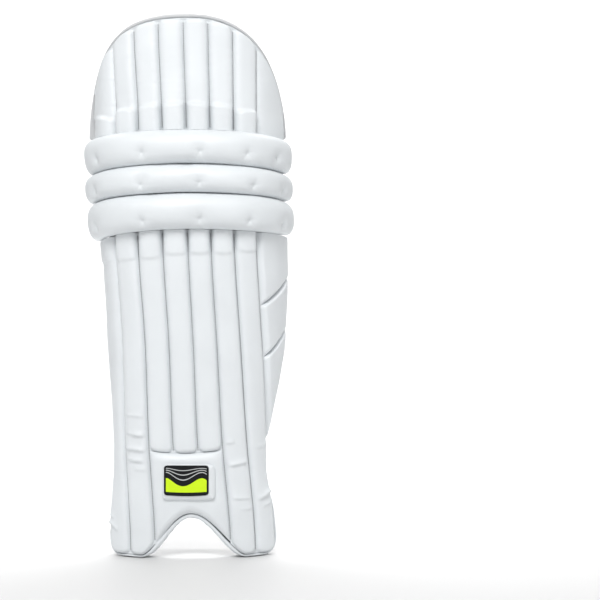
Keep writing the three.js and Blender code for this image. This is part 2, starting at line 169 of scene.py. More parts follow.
# Creases at the ankle: the channel, the height at its middle, the climb over its width,
# the part of the width that it crosses, and its depth
CREASES = table(
    "channel height climb start end depth",
    (2, 0.181, -0.003, 0.20, 0.90, 0.0022),
    (2, 0.157, -0.005, 0.25, 0.90, 0.0040),
    (2, 0.138, -0.005, 0.10, 0.90, 0.0044),
    (2, 0.124, -0.004, 0.15, 0.80, 0.0040),
    (2, 0.113, -0.003, 0.40, 0.90, 0.0018),
    (6, 0.148, 0.003, 0.05, 0.45, 0.0028),
    (6, 0.120, 0.006, 0.10, 0.90, 0.0038),
    (6, 0.076, -0.001, 0.10, 0.90, 0.0024),
    (6, 0.062, 0.004, 0.40, 0.95, 0.0018),
    (7, 0.078, 0.014, 0.15, 0.95, 0.0044),
    (7, 0.066, 0.012, 0.30, 0.95, 0.0026),
    (7, 0.141, 0.003, 0.20, 0.90, 0.0020),
    (1, 0.036, -0.022, 0.05, 0.60, 0.0042),
    (1, 0.047, -0.018, 0.05, 0.45, 0.0022),
)

# The fuller ends of the channels beside the rolls, by channel from the left: the height of the
# step above the knee and its climb over the width, and the height of the step on the shin
STUBS = table(
    "top climb shin",
    (0.563, -0.006, 0.380),
    (0.570, 0.000, 0.382),
    (0.574, 0.006, 0.384),
    (0.576, 0.005, 0.389),
    (0.576, -0.004, 0.390),
    (0.574, -0.004, 0.390),
    (0.568, 0.001, 0.393),
)

# How the channels and panels are finished
BASE_GAP = 0.0001
END_ROUND = 0.009
TOP_STEP = 0.007
SHIN_STEP = 0.005
STUB_CURVE = 0.003
TAPE_LEVEL = 0.0062
WING_BEVEL = 0.007
WING_SWELL = 0.0012

# Plinth and label
PLINTH_WIDTH = 0.065
PLINTH_HEIGHT = 0.046
PLINTH_BOTTOM = 0.075
PLINTH_CORNER = 0.010
PLINTH_RISE = 0.0065
LABEL_WIDTH = 0.053
LABEL_HEIGHT = 0.0375
LABEL_BOTTOM = 0.0825
LABEL_SHIFT = -0.0025
LABEL_CORNER = 0.004
LABEL_THICKNESS = 0.0012
LABEL_EDGE = 0.0004
LABEL_BOW = 0.0012
PLINTH_EDGE = 0.0012
PLINTH_ROUND = 0.009
PLINTH_SINK = 0.0006

# Bindings
BINDING_OVERHANG = 0.0015
LEFT_BINDING_END = 0.042
RIGHT_BINDING_END = 0.072

# Straps
STRAP_WIDTH = 0.038
STRAP_THICKNESS = 0.0025
STRAP_LAP = 0.024
STRAP_GAP = 0.001
STRAP_SLACK = 0.088
STRAP_HEIGHTS = {"knee_strap": 0.452, "calf_strap": 0.300, "ankle_strap": 0.118}

# Camera: where it stands before the guide's middle, and the frame's width at the guide
CAMERA_ASIDE = 0.141
CAMERA_UP = 0.329
CAMERA_AWAY = 2.030
VIEW_WIDTH = 0.7650
SENSOR = 36.0

# Studio
FLOOR_HALF = 5.0
WALL_AT = 3.2
WALL_HEIGHT = 4.0
WALL_BEND = 1.2
KEY_LAMP = dict(place=(-0.30, -2.1, 2.3), target=(0, 0, 0.2), size=1.3)
BACKDROP_LAMP = dict(place=(0, 0.9, 1.9), target=(0, 2.8, 0), size=1.6)


def mix(low, high, share):
    return low + (high - low) * share


def smooth(value, low, high):
    """0 below low, 1 above high, and a smooth step between."""
    t = np.clip((value - low) / (high - low), 0, 1)
    return t * t * (3 - 2 * t)


def signed_power(value, power):
    """A power of a number's size, with the number's sign."""
    return np.sign(value) * np.abs(value) ** power


def curve(rows, column, height):
    """A column of a table at some heights, on a smooth curve through its rows."""
    ups = np.array([row["up"] for row in rows])
    values = np.array([row[column] for row in rows], float)
    rises = np.diff(values)
    slopes = np.zeros(len(rows))
    steady = rises[:-1] * rises[1:] > 0
    slopes[1:-1] = np.where(steady, (values[2:] - values[:-2]) / (ups[2:] - ups[:-2]), 0)
    up = np.clip(np.asarray(height, float) / HEIGHT, ups[0], ups[-1])
    high = np.clip(np.searchsorted(ups, up), 1, len(rows) - 1)
    low = high - 1
    step = ups[high] - ups[low]
    t = (up - ups[low]) / step
    start = (2 * t**3 - 3 * t**2 + 1) * values[low] + (t**3 - 2 * t**2 + t) * step * slopes[low]
    end = (3 * t**2 - 2 * t**3) * values[high] + (t**3 - t**2) * step * slopes[high]
    return start + end


def side_of(height, left):
    """One side of the leg's outline: its flat front, arcs and full reach."""
    name = "left" if left else "right"
    front = FRONT_LEFT if left else FRONT_RIGHT
    half = (HALF_LEFT if left else HALF_RIGHT) * curve(PLAN, name, height)
    turn = np.radians(curve(PLAN, "turn_" + name, height))
    tail = SIDE_DEPTH * curve(PLAN, "tail_" + name, height)
    start = front / FRONT_RADIUS
    arc = half - FRONT_RADIUS * math.sin(start) - tail * np.cos(turn)
    radius = arc / (np.sin(turn) - math.sin(start))
    bend = radius * (turn - start)
    return front, start, turn, radius, bend, front + bend + tail


def edge_left(height):
    return -side_of(height, True)[-1]


def edge_right(height):
    return side_of(height, False)[-1]


def edge_at(across, height):
    """The reach of the side that a place is on, as a positive length."""
    return np.where(across < 0, -edge_left(height), edge_right(height))


def on_guide(across, height, out):
    """Points by the way round the leg, the height and the distance off the shell's face."""
    across, height, out = np.broadcast_arrays(*(np.asarray(v, float) for v in (across, height, out)))
    is_left = across < 0
    sides = zip(side_of(height, True)[:5], side_of(height, False)[:5])
    front, start, turn, radius, bend = (np.where(is_left, left, right) for left, right in sides)
    run = np.abs(across)
    angle = np.where(run < front, run / FRONT_RADIUS, np.minimum(turn, start + (run - front) / radius))
    rest = np.maximum(0, run - front - bend)
    bent = np.where(run < front, 0, radius)
    flat = np.minimum(angle, start)
    x = FRONT_RADIUS * np.sin(flat) + bent * (np.sin(angle) - np.sin(start))
    x = x + rest * np.cos(angle) + out * np.sin(angle)
    y = FRONT_RADIUS * (1 - np.cos(flat)) + bent * (np.cos(start) - np.cos(angle))
    y = y + rest * np.sin(angle) - out * np.cos(angle)
    back = LEAN_BACK * curve(PLAN, "back", height)
    return np.stack([np.where(is_left, -x, x), y + back, height], axis=-1)


def seam(count, height):
    """The seam `count` channels from the middle one, as a way round the leg."""
    pitch = curve(SEAMS, "pitch_left" if count < 0 else "pitch_right", height)
    return FLUTE_PITCH * (curve(SEAMS, "middle", height) + count * pitch)


def off_arch(across):
    """How far a place is off the middle of the arch, from 0 to 1 on the lobes."""
    off = across - ARCH_MIDDLE
    return np.minimum(1, np.abs(off) / np.where(off < 0, ARCH_LEFT, ARCH_RIGHT))


def foot_width(across):
    """The width of the foot's binding, which is narrower under the two lobes."""
    return BINDING_WIDTH - FOOT_TRIM * smooth(off_arch(across), 0.7, 1)


def foot_line(across):
    """The edge of the cut shell at the foot, under the binding."""
    off = off_arch(across)
    corner = np.clip(np.abs(across) - (edge_at(across, 0) - FOOT_CORNER), 0, FOOT_CORNER)
    rounding = FOOT_CORNER - np.sqrt(FOOT_CORNER**2 - corner**2)
    return foot_width(across) + GAP + ARCH_HEIGHT * (1 - off**2) ** 2 + rounding


def instep_line(across):
    """The top edge of the instep panel, which dips a little in its middle."""
    left, right = seam(-2, INSTEP_TOP), seam(1, INSTEP_TOP)
    share = np.clip((across - left) / (right - left), 0, 1)
    return INSTEP_TOP + INSTEP_DIP * (share - INSTEP_LOWEST) ** 2


def dome_line(share):
    """The edge of the cut shell at the dome, under the binding, at shares of the reach to a side."""
    power = np.where(share < 0, DOME_POWER_LEFT, DOME_POWER_RIGHT)
    rise = HEIGHT - BINDING_WIDTH - GAP - DOME_BASE
    return DOME_BASE + rise * np.sqrt(1 - np.minimum(1, np.abs(share)) ** power)


def dome_height(across_at, share):
    """The height at which lines that lean with height meet the dome."""
    turns = 16
    height = np.full(np.shape(share), DOME_BASE)
    for _ in range(turns):
        across = across_at(height)
        height = (height + dome_line(across / edge_at(across, height))) / 2
    return height


def roll_line(index, across):
    """The lines between the knee rolls: 0 is the lowest edge and 3 the highest."""
    base = KNEE_BASE + sum(ROLL_HEIGHTS[:index])
    sag = ROLL_SAG * np.where(across < 0, ROLL_SAGS[index]["left"], ROLL_SAGS[index]["right"])
    return base - sag * (across / edge_at(across, base)) ** 2


def guide_origin():
    """Where the guide's origin lies in the frame, from the backing's left and front faces."""
    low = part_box("back_pad")[0]
    aside = low.x + HALF_LEFT * float(curve(PLAN, "left", DOME_BASE))
    ahead = low.y - float(on_guide(0, foot_line(0), 0)[1])
    return np.array([aside, ahead, 0])


ORIGIN = guide_origin()


def on_leg(across, height, out):
    """Points of the guide in the frame."""
    return on_guide(across, height, out) + ORIGIN


def rounded(near, radius):
    """The height of a quarter round at a distance from its edge, from 0 to 1."""
    return np.sqrt(1 - (1 - np.clip(near / radius, 0, 1)) ** 2)


def uneven(u, v, length, seed):
    """A smooth, random relief between about -1 and 1."""
    random = np.random.default_rng(seed)
    waves = 6
    total = 0
    for _ in range(waves):
        angle, phase = random.uniform(0, 2 * math.pi, 2)
        pace = 2 * math.pi / (length * random.uniform(0.7, 1.6))
        total = total + np.sin((u * math.cos(angle) + v * math.sin(angle)) * pace + phase)
    return total / math.sqrt(waves)


def spots_of(mesh):
    flat = np.empty(len(mesh.vertices) * 3)
    mesh.vertices.foreach_get("co", flat)
    return flat.reshape(-1, 3)


def made_of(name, bm):
    """A smooth object in the scene from a bmesh, which is used up."""
    mesh = bpy.data.meshes.new(name)
    bm.to_mesh(mesh)
    bm.free()
    mesh.polygons.foreach_set("use_smooth", np.ones(len(mesh.polygons), bool))
    piece = bpy.data.objects.new(name, mesh)
    bpy.context.scene.collection.objects.link(piece)
    return piece


def shaped(name, bm, place):
    """An object from a bmesh whose vertices are then placed, with the map of its cloth."""
    piece = made_of(name, bm)
    mesh = piece.data
    points, cloth = place(spots_of(mesh))
    mesh.vertices.foreach_set("co", points.ravel())
    corners = np.empty(len(mesh.loops), int)
    mesh.loops.foreach_get("vertex_index", corners)
    layer = mesh.uv_layers.new(name="cloth")
    layer.data.foreach_set("uv", cloth[corners].ravel())
    mesh.update()
    return piece


def block(name, cells, place):
    """A closed box of cells, each corner of which is placed by three shares from 0 to 1."""
    bm = bmesh.new()
    bmesh.ops.create_cube(bm, size=1)
    for axis, count in enumerate(cells):
        along = [e for e in bm.edges if abs(e.verts[1].co[axis] - e.verts[0].co[axis]) > 0.5]
        if count > 1:
            bmesh.ops.subdivide_edges(bm, edges=along, cuts=count - 1, use_grid_fill=True)
    return shaped(name, bm, lambda spots: place(*(spots + 0.5).T))


def sausage(name, around, along, place):
    """A closed bar with rounded ends, placed by a share along it and a place in its section."""
    bm = bmesh.new()
    bmesh.ops.create_uvsphere(bm, u_segments=around, v_segments=along, radius=1)

    def wrap(spots):
        share = np.arccos(np.clip(spots[:, 2], -1, 1)) / math.pi
        turn = np.arctan2(spots[:, 1], spots[:, 0])
        return place(share, np.cos(turn), -np.sin(turn))

    return shaped(name, bm, wrap)


def plumped(piece, held, stuffing):
    """Stuffs a piece: a coarse copy is blown up as cloth, and how far each point moves is given."""
    spots = spots_of(piece.data)
    frames = 20
    neighbours = 24
    least = 1e-6
    scene = bpy.context.scene
    copy = bpy.data.objects.new("stuffing", piece.data.copy())
    scene.collection.objects.link(copy)
    remesh = copy.modifiers.new("remesh", "REMESH")
    remesh.mode = "VOXEL"
    remesh.voxel_size = stuffing.voxel
    coarse = bpy.data.meshes.new_from_object(copy.evaluated_get(bpy.context.evaluated_depsgraph_get()))
    copy.modifiers.clear()
    copy.data = coarse
    before = spots_of(coarse)
    group = copy.vertex_groups.new(name="held")
    group.add([int(i) for i in np.flatnonzero(held(before))], 1.0, "REPLACE")
    cloth = copy.modifiers.new("cloth", "CLOTH")
    cloth.settings.vertex_group_mass = "held"
    cloth.settings.use_pressure = True
    cloth.settings.uniform_pressure_force = stuffing.pressure
    cloth.settings.effector_weights.gravity = 0
    cloth.settings.shrink_min = stuffing.tightness
    cloth.settings.bending_stiffness = stuffing.stiffness
    for frame_number in range(1, frames + 1):
        scene.frame_set(frame_number)
    after = spots_of(copy.evaluated_get(bpy.context.evaluated_depsgraph_get()).data)
    scene.frame_set(1)
    shift = after - before
    reach = np.linalg.norm(shift, axis=1)[:, None]
    shift *= np.minimum(1, stuffing.cap / np.maximum(reach, 1e-9))
    tree = KDTree(len(before))
    for index, spot in enumerate(before):
        tree.insert(spot, index)
    tree.balance()
    carried = np.empty(spots.shape)
    for index, spot in enumerate(spots):
        _, found, distances = zip(*tree.find_n(spot, neighbours))
        weights = np.array([math.exp(-((far / stuffing.blend) ** 2)) + least for far in distances])
        carried[index] = weights @ shift[list(found)] / weights.sum()
    bpy.data.objects.remove(copy)
    bpy.data.meshes.remove(coarse)
    return carried


def dress(piece, finish_name, nodes):
    """Gives a piece its finish and its place in the part."""
    piece.data.materials.append(finish_of(finish_name))
    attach(piece, "root")
    if nodes:
        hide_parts(*nodes)


def denser(share, amount):
    """Shares that crowd towards 0 and 1."""
    return mix(share, 0.5 - 0.5 * np.cos(math.pi * share), amount)


def stretched_rows(share, low, high):
    """Heights between two lines, with more rows in the rounded ends."""
    end_rows = 0.06
    end = np.minimum(END_ROUND, (high - low) / 3)
    lower = low + end * (1 - np.cos(math.pi / 2 * np.clip(share / end_rows, 0, 1)))
    upper = high - end * (1 - np.cos(math.pi / 2 * np.clip((1 - share) / end_rows, 0, 1)))
    body = mix(low + end, high - end, (share - end_rows) / (1 - 2 * end_rows))
    return np.where(share < end_rows, lower, np.where(share > 1 - end_rows, upper, body))


def stuffed(share, width, margin, end):
    """The fullness of a stuffed channel: 0 on its seam margins and closed end, 1 on its crown."""
    widest_edge, narrowest = 0.45, 1e-4
    corner_power, shoulder_power, crown_power = 3, 4, 0.55
    edge = np.minimum(widest_edge, margin / np.maximum(width, narrowest))
    side = np.clip((np.minimum(share, 1 - share) - edge) / (0.5 - edge), 0, 1)
    from_end = 1 - np.clip(end / END_ROUND, 0, 1)
    away = ((1 - side) ** corner_power + from_end**corner_power) ** (1 / corner_power)
    return (1 - np.minimum(1, away) ** shoulder_power) ** crown_power


def puckered(share, width, height, seed):
    """Small folds that the thread draws along a channel's seams."""
    fold_length, slant, reach = 0.008, 0.2, 0.0045
    off = np.minimum(share, 1 - share) * width
    return uneven(height, off * slant, fold_length, seed) * np.exp(-off / reach)


def creased(number, share, height):
    """The creases of one channel of the shin, each with a steep lower side."""
    fade, foot, lip = 0.0032, -0.0014, 0.0002
    total = 0
    for row in CREASES:
        if row["channel"] != number:
            continue
        level = height - row["height"] - row["climb"] * (share - 0.5)
        middle = (share - row["start"]) / (row["end"] - row["start"])
        reach = np.sqrt(np.clip(4 * middle * (1 - middle), 0, 1))
        fold = np.exp(-np.maximum(level, 0) / fade) * smooth(level, foot, lip)
        total = total + row["depth"] * reach * fold
    return total


def channel(name, cells, left, right, low, high, relief):
    """A closed padded panel on the shell between two sides and two ends."""
    columns, rows = cells

    def place(a, b, c):
        share = denser(a, 0.6)
        low_here = low(share)
        high_here = high(share)
        height = stretched_rows(b, low_here, high_here)
        across = mix(left(height), right(height), share)
        width = right(height) - left(height)
        face = relief(share, width, across, height, low_here, high_here)
        spots = on_leg(across, height, np.where(c < 0.5, BASE_GAP, face))
        return spots, np.stack([across, height], axis=-1)

    return block(name, (columns, rows, 1), place)


def shin_edge(height):
    """The outer line of the seventh channel: the wing's seam, and the edge below the waist."""
    return np.minimum(edge_right(height) - EDGE_INSET, seam(3, height))


def shin_channel(number, padding):
    """A channel of the shin, from its foot to the rolls."""
    on_instep = 2 < number < 6

    def left(height):
        return edge_left(height) + EDGE_INSET if number == 1 else seam(number - FIRST_SEAM - 1, height)

    def right(height):
        return shin_edge(height) if number == CHANNELS else seam(number - FIRST_SEAM, height)

    def low(share):
        level = INSTEP_TOP if on_instep else 0
        across = mix(left(level), right(level), share)
        return (instep_line(across) if on_instep else foot_line(across)) + GAP / 4

    def high(share):
        return roll_line(0, mix(left(KNEE_BASE), right(KNEE_BASE), share)) - GAP / 4

    def relief(share, width, across, height, low_here, high_here):
        stub_line = STUBS[number - 1]["shin"] + STUB_CURVE * (2 * share - 1) ** 2
        stub = smooth(height, stub_line - SHIN_STEP, stub_line)
        full = stuffed(share, width, padding.margin, height - low_here)
        valley = padding.valley - padding.stub_valley * stub
        crown = padding.crown + padding.shin_stub_rise * stub
        sway = padding.unevenness * uneven(across, height, 0.06, number)
        pucker = padding.pucker * puckered(share, width, height, 20 + number)
        folds = creased(number, share, height)
        rise = crown - valley + sway + folds
        return valley + np.maximum(rise * full + pucker, 0)

    rows = 170 if on_instep else 230
    return channel(f"shin_channel_{number}", (26, rows), left, right, low, high, relief)


def top_channel(number, padding):
    """A channel above the knee, cut by the dome. The eighth is the smooth side panel."""
    smooth_side = number > CHANNELS

    def left(height):
        if number == 1:
            return edge_left(height) + DOME_EDGE * (1 - smooth(height, DOME_BASE, HEIGHT))
        return seam(number - FIRST_SEAM - 1, height)

    def right(height):
        return edge_right(height) - EDGE_INSET if smooth_side else seam(number - FIRST_SEAM, height)

    def low(share):
        return roll_line(3, mix(left(DOME_BASE), right(DOME_BASE), share)) + GAP / 4

    def high(share):
        return dome_height(lambda height: mix(left(height), right(height), share), share) - GAP / 4

    def relief(share, width, across, height, low_here, high_here):
        stub_slope = 0.3
        thin_from, thin_to = -0.1, 0.7
        tape_from, tape_to = 0.001, 0.004
        full = stuffed(share, width, padding.margin, high_here - height)
        valley = padding.valley
        crown = padding.side_crown if smooth_side else padding.crown
        if not smooth_side:
            row = STUBS[number - 1]
            line = row["top"] + row["climb"] * (share - 0.5) - STUB_CURVE * (2 * share - 1) ** 2
            step = 1 - smooth(height, line, line + TOP_STEP)
            facet = np.clip((line - height) / (line - low_here), 0, 1)
            crown = crown + padding.stub_rise * step * (1 - stub_slope * facet)
            valley = valley - padding.stub_valley * step
        if number == 1:
            crown = mix(valley, crown, smooth(share, thin_from, thin_to))
        sway = padding.unevenness * uneven(across, height, 0.06, 40 + number)
        pucker = padding.pucker * puckered(share, width, height, 60 + number)
        tape = TAPE_LEVEL * (1 - smooth(high_here - height, tape_from, tape_to))
        face = valley + np.maximum((crown - valley + sway) * full + pucker, 0)
        return np.maximum(face, tape)

    name = "side_panel" if smooth_side else f"top_channel_{number}"
    return channel(name, (26, 120), left, right, low, high, relief)


def tack_dents(spots, tack_spots, depth):
    """How far the tacks draw the skin in at each point, with the folds that run out from them."""
    pin_share, pin_reach = 0.70, 0.0030
    bowl_share, bowl_reach = 0.30, 0.0105
    fold_share, fold_start, fold_reach = 0.26, 0.003, 0.0070
    total = np.zeros(len(spots))
    for number, tack in enumerate(tack_spots):
        away = spots - tack
        off = np.linalg.norm(away, axis=1)
        way = np.arctan2(away[:, 2], away[:, 0])
        pull = pin_share * np.exp(-off / pin_reach) + bowl_share * np.exp(-((off / bowl_reach) ** 2))
        folds = np.zeros(len(spots))
        for fold in TACK_FOLDS:
            turn = np.radians(fold["way"] + 9 * math.sin(2.3 * number + fold["way"]))
            gap = np.abs(np.angle(np.exp(1j * (way - turn))))
            folds += fold["depth"] * np.exp(-((gap / fold["spread"]) ** 2))
        folds *= np.exp(-off / fold_reach) * (1 - np.exp(-((off / fold_start) ** 2)))
        total += depth * (pull + fold_share * folds)
    return total


def knee_roll(index, padding, stuffing):
    """A knee roll between two of the lines, blown up and then drawn in at its tacks."""
    end_round = 0.008
    end_power, end_loss = 18, 0.55
    thin_from = 0.45
    squareness = 0.86
    back_hold = 0.006
    back_columns, back_rows, back_height = 80, 5, 0.8

    def reach_at(share):
        middle = (roll_line(index, 0) + roll_line(index + 1, 0)) / 2
        left, right = -edge_left(middle) - ROLL_LEFT_INSET, edge_right(middle) - ROLL_RIGHT_INSET
        return np.where(share < 0, left, right)

    def section(share, up, out, dents):
        reach = reach_at(share)
        across = share * reach
        low = roll_line(index, across) + GAP / 4
        high = roll_line(index + 1, across) - GAP / 4
        away = np.abs(share)
        full = np.sqrt(1 - end_loss * away**end_power) * rounded((1 - away) * reach, end_round)
        thinning = np.where(share < 0, ROLL_THINNING[index]["left"], ROLL_THINNING[index]["right"])
        proud = padding.roll_proud * full * (1 - thinning * smooth(away, thin_from, 1))
        height = mix(low, high, 0.5 + 0.5 * full * signed_power(up, squareness))
        lift = proud * (0.5 + 0.5 * signed_power(out, squareness))
        facing = np.clip(out, 0, 1)
        sway = padding.unevenness * 1.3 * uneven(across, height, 0.09, 80 + index) * facing * full
        spots = on_leg(across, height, BASE_GAP + lift + sway - dents)
        return spots, np.stack([across, height], axis=-1)

    tacks = np.array(TACKS[index]["ways"])
    tack_up = np.full(tacks.shape, TACKS[index]["up"])
    tack_spots = section(tacks, tack_up, np.sqrt(1 - tack_up**2), 0)[0]
    cells = back_columns * back_rows
    backs = KDTree(cells)
    ways = np.repeat(np.linspace(-1, 1, back_columns), back_rows)
    ups = np.tile(np.linspace(-back_height, back_height, back_rows), back_columns)
    for number, spot in enumerate(section(ways, ups, np.full(cells, -1.0), 0)[0]):
        backs.insert(spot, number)
    backs.balance()
    shares = []

    def place(along, up, out):
        share = 2 * denser(along, 0.35) - 1
        shares.extend((share, up, out))
        return section(share, up, out, 0)

    def held(spots):
        return np.array([backs.find(spot)[2] < back_hold for spot in spots])

    name = ("bottom", "middle", "top")[index]
    roll = sausage(f"roll_{name}", 96, 300, place)
    share, up, out = shares
    swell = plumped(roll, held, stuffing)
    across = share * reach_at(share)
    dents = tack_dents(spots_of(roll.data), tack_spots, padding.tack_depth)
    spots = section(share, up, out, dents)[0] + swell
    low, high = roll_line(index, across) + GAP / 8, roll_line(index + 1, across) - GAP / 8
    spots[:, 2] = np.clip(spots[:, 2], low, high)
    roll.data.vertices.foreach_set("co", spots.ravel())
    roll.data.update()
    return roll


def groove_line(index, share):
    """The groove above the wing's segment, which climbs outwards."""
    return GROOVE_HEIGHTS[index] + GROOVE_RISE * share**GROOVE_CURVE


def wing_segment(index, padding):
    """A bevelled segment of the wing: 0 is the lowest."""
    least_width = 0.003
    shallow, shallow_from = 0.6, 0.6

    def left(height):
        return seam(3, height)

    def right(height):
        return np.maximum(left(height) + least_width, edge_right(height) - EDGE_INSET)

    def low(share):
        return WAIST + WAIST_RISE * share if index == 0 else groove_line(index - 1, share) + GAP / 8

    def high(share):
        if index < 2:
            return groove_line(index, share) - GAP / 8
        return roll_line(0, mix(left(KNEE_BASE), right(KNEE_BASE), share)) - GAP / 4

    def relief(share, width, across, height, low_here, high_here):
        near_side = np.minimum(share, 1 - share) * width
        side = np.clip((near_side - padding.margin) / WING_BEVEL, 0, 1)
        above = np.ones(np.shape(share)) if index == 2 else (high_here - height) / WING_BEVEL
        end = np.clip(np.minimum((height - low_here) / WING_BEVEL, above * 2), 0, 1)
        end = mix(end, 1, shallow * smooth(share, shallow_from, 1))
        bevel = np.sin(math.pi / 2 * side) * np.sin(math.pi / 2 * end)
        swell = WING_SWELL * rounded(near_side, 0.02)
        rise = padding.wing_crown - padding.valley
        sway = padding.unevenness * uneven(across, height, 0.05, 100 + index)
        return padding.valley + rise * bevel + (swell + sway) * bevel

    name = ("lower", "middle", "upper")[index]
    return channel(f"wing_pad_{name}", (48, 110), left, right, low, high, relief)


def instep_face(across, height, padding):
    """How far the instep panel's face stands out."""
    side_power, crown_power = 6, 0.6
    left = seam(-2, height)
    right = seam(1, height)
    share = np.clip((across - left) / (right - left), 0, 1)
    edge = padding.margin / (right - left)
    inside = np.clip((np.minimum(share, 1 - share) - edge) / (0.5 - edge), 0, 1)
    full = (1 - (1 - inside) ** side_power) ** crown_power
    lower = rounded(height - foot_line(across), END_ROUND * 1.3)
    upper = rounded(instep_line(across) - height, END_ROUND * 1.5)
    return padding.valley + (padding.instep_crown - padding.valley) * full * lower * upper


def instep_panel(padding):
    """The smooth panel between the lobes and the channels of the shin."""

    def left(height):
        return seam(-2, height)

    def right(height):
        return seam(1, height)

    def low(share):
        return foot_line(mix(left(ARCH_HEIGHT), right(ARCH_HEIGHT), share)) + GAP / 4

    def high(share):
        return instep_line(mix(left(INSTEP_TOP), right(INSTEP_TOP), share))

    def relief(share, width, across, height, low_here, high_here):
        sway = padding.unevenness * uneven(across, height, 0.05, 120)
        face = instep_face(across, height, padding)
        return face + sway * np.clip((face - padding.valley) / 0.006, 0, 1)

    return channel("instep_pad", (90, 90), left, right, low, high, relief)


def rounded_corners(a, b, width, height, corner):
    """A place in a rectangle with round corners, from its centre."""
    up = (b - 0.5) * height
    over = np.clip(np.abs(up) - (height / 2 - corner), 0, corner)
    half = width / 2 - corner + np.sqrt(corner**2 - over**2)
    return (2 * a - 1) * half, up


def label_plinth(padding):
    """The raised pillow under the label."""

    def place(a, b, c):
        ways = denser(a, 0.7), denser(b, 0.7)
        across, up = rounded_corners(*ways, PLINTH_WIDTH, PLINTH_HEIGHT, PLINTH_CORNER)
        height = PLINTH_BOTTOM + PLINTH_HEIGHT / 2 + up
        near = np.minimum(PLINTH_WIDTH / 2 - np.abs(across), PLINTH_HEIGHT / 2 - np.abs(up))
        seat = instep_face(across, height, padding) - PLINTH_SINK
        full = rounded(near, PLINTH_ROUND)
        rise = PLINTH_EDGE + (PLINTH_RISE - PLINTH_EDGE) * full**1.3
        sway = padding.unevenness * 0.6 * uneven(across, height, 0.03, 140) * full
        spots = on_leg(across, height, seat + c * (rise + sway))
        return spots, np.stack([across, height], axis=-1)

    return block("label_pillow", (64, 48, 1), place)


def label(padding):
    """The sewn label on its pillow."""

    def place(a, b, c):
        ways = denser(a, 0.5), denser(b, 0.5)
        across, up = rounded_corners(*ways, LABEL_WIDTH, LABEL_HEIGHT, LABEL_CORNER)
        bow = LABEL_BOW * (1 - (2 * across / LABEL_WIDTH) ** 2) * (0.5 - up / LABEL_HEIGHT)
        height = LABEL_BOTTOM + LABEL_HEIGHT / 2 + up - bow
        near = np.minimum(LABEL_WIDTH / 2 - np.abs(across), LABEL_HEIGHT / 2 - np.abs(up))
        across = across + LABEL_SHIFT
        seat = instep_face(across, height, padding) - PLINTH_SINK + PLINTH_RISE
        thick = LABEL_EDGE + (LABEL_THICKNESS - LABEL_EDGE) * rounded(near, LABEL_THICKNESS)
        return on_leg(across, height, seat + c * thick), np.stack([a, b], axis=-1)

    return block("label_patch", (70, 52, 1), place)


def backing(padding):
    """The padded backing, cut to the dome and to the foot, with soft edges."""
    edge_round = 0.005

    def place(a, b, c):
        share = 2 * denser(a, 0.35) - 1
        depth = np.abs(c - 0.5) * SHELL - (SHELL / 2 - edge_round)
        inset = edge_round * (1 - np.sqrt(1 - np.clip(depth / edge_round, 0, 1) ** 2))
        foot = foot_line(share * edge_at(share, 0)) + inset
        dome = dome_line(share) - inset
        height = mix(foot, dome, denser(b, 0.2))
        across = share * (edge_at(share, height) - inset)
        out = -SHELL * (1 - c)
        near_end = np.minimum(height - foot, dome - height)
        near = np.minimum(edge_at(share, height) - np.abs(across), near_end)
        pad = padding.lining_swell * rounded(near - edge_round, 0.03) * (1 - c)
        sway = padding.unevenness * uneven(across, height, 0.08, 160) * (1 - c) * rounded(near, 0.02)
        spots = on_leg(across, height, out - pad - sway)
        return spots, np.stack([across, height], axis=-1)

    return block("padded_backing", (120, 170, 8), place)


def top_binding_line(share):
    """The dome's edge from left to right: the way round the leg and the height."""
    way = np.cos(math.pi * (1 - share))
    power = np.where(way < 0, DOME_POWER_LEFT, DOME_POWER_RIGHT)
    side = signed_power(way, 2 / power)
    height = dome_line(side)
    return side * edge_at(side, height), height


def foot_binding_line(share):
    """The foot's edge from right to left, with the round corners and the arch."""
    floor = BINDING_WIDTH - FOOT_TRIM + GAP
    turn = np.linspace(0, math.pi / 2, 24)
    sides = []
    for sign, end in ((1, RIGHT_BINDING_END), (-1, LEFT_BINDING_END)):
        rise = np.linspace(end, floor + FOOT_CORNER, 30)[:-1]
        straight = np.stack([sign * edge_at(sign, rise), rise])
        height = floor + FOOT_CORNER * (1 - np.sin(turn))
        reach = float(edge_at(sign, 0))
        part = 1 - FOOT_CORNER * (1 - np.cos(turn)) / reach
        sides.append(np.hstack([straight, np.stack([sign * part * edge_at(sign, height), height])]))
    right, left = sides
    ways = np.linspace(right[0, -1], left[0, -1], 200)[1:-1]
    points = np.hstack([right, np.stack([ways, foot_line(ways)]), left[:, ::-1]])
    run = np.concatenate([[0], np.cumsum(np.linalg.norm(np.diff(points), axis=0))])
    return np.interp(share * run[-1], run, points[0]), np.interp(share * run[-1], run, points[1])


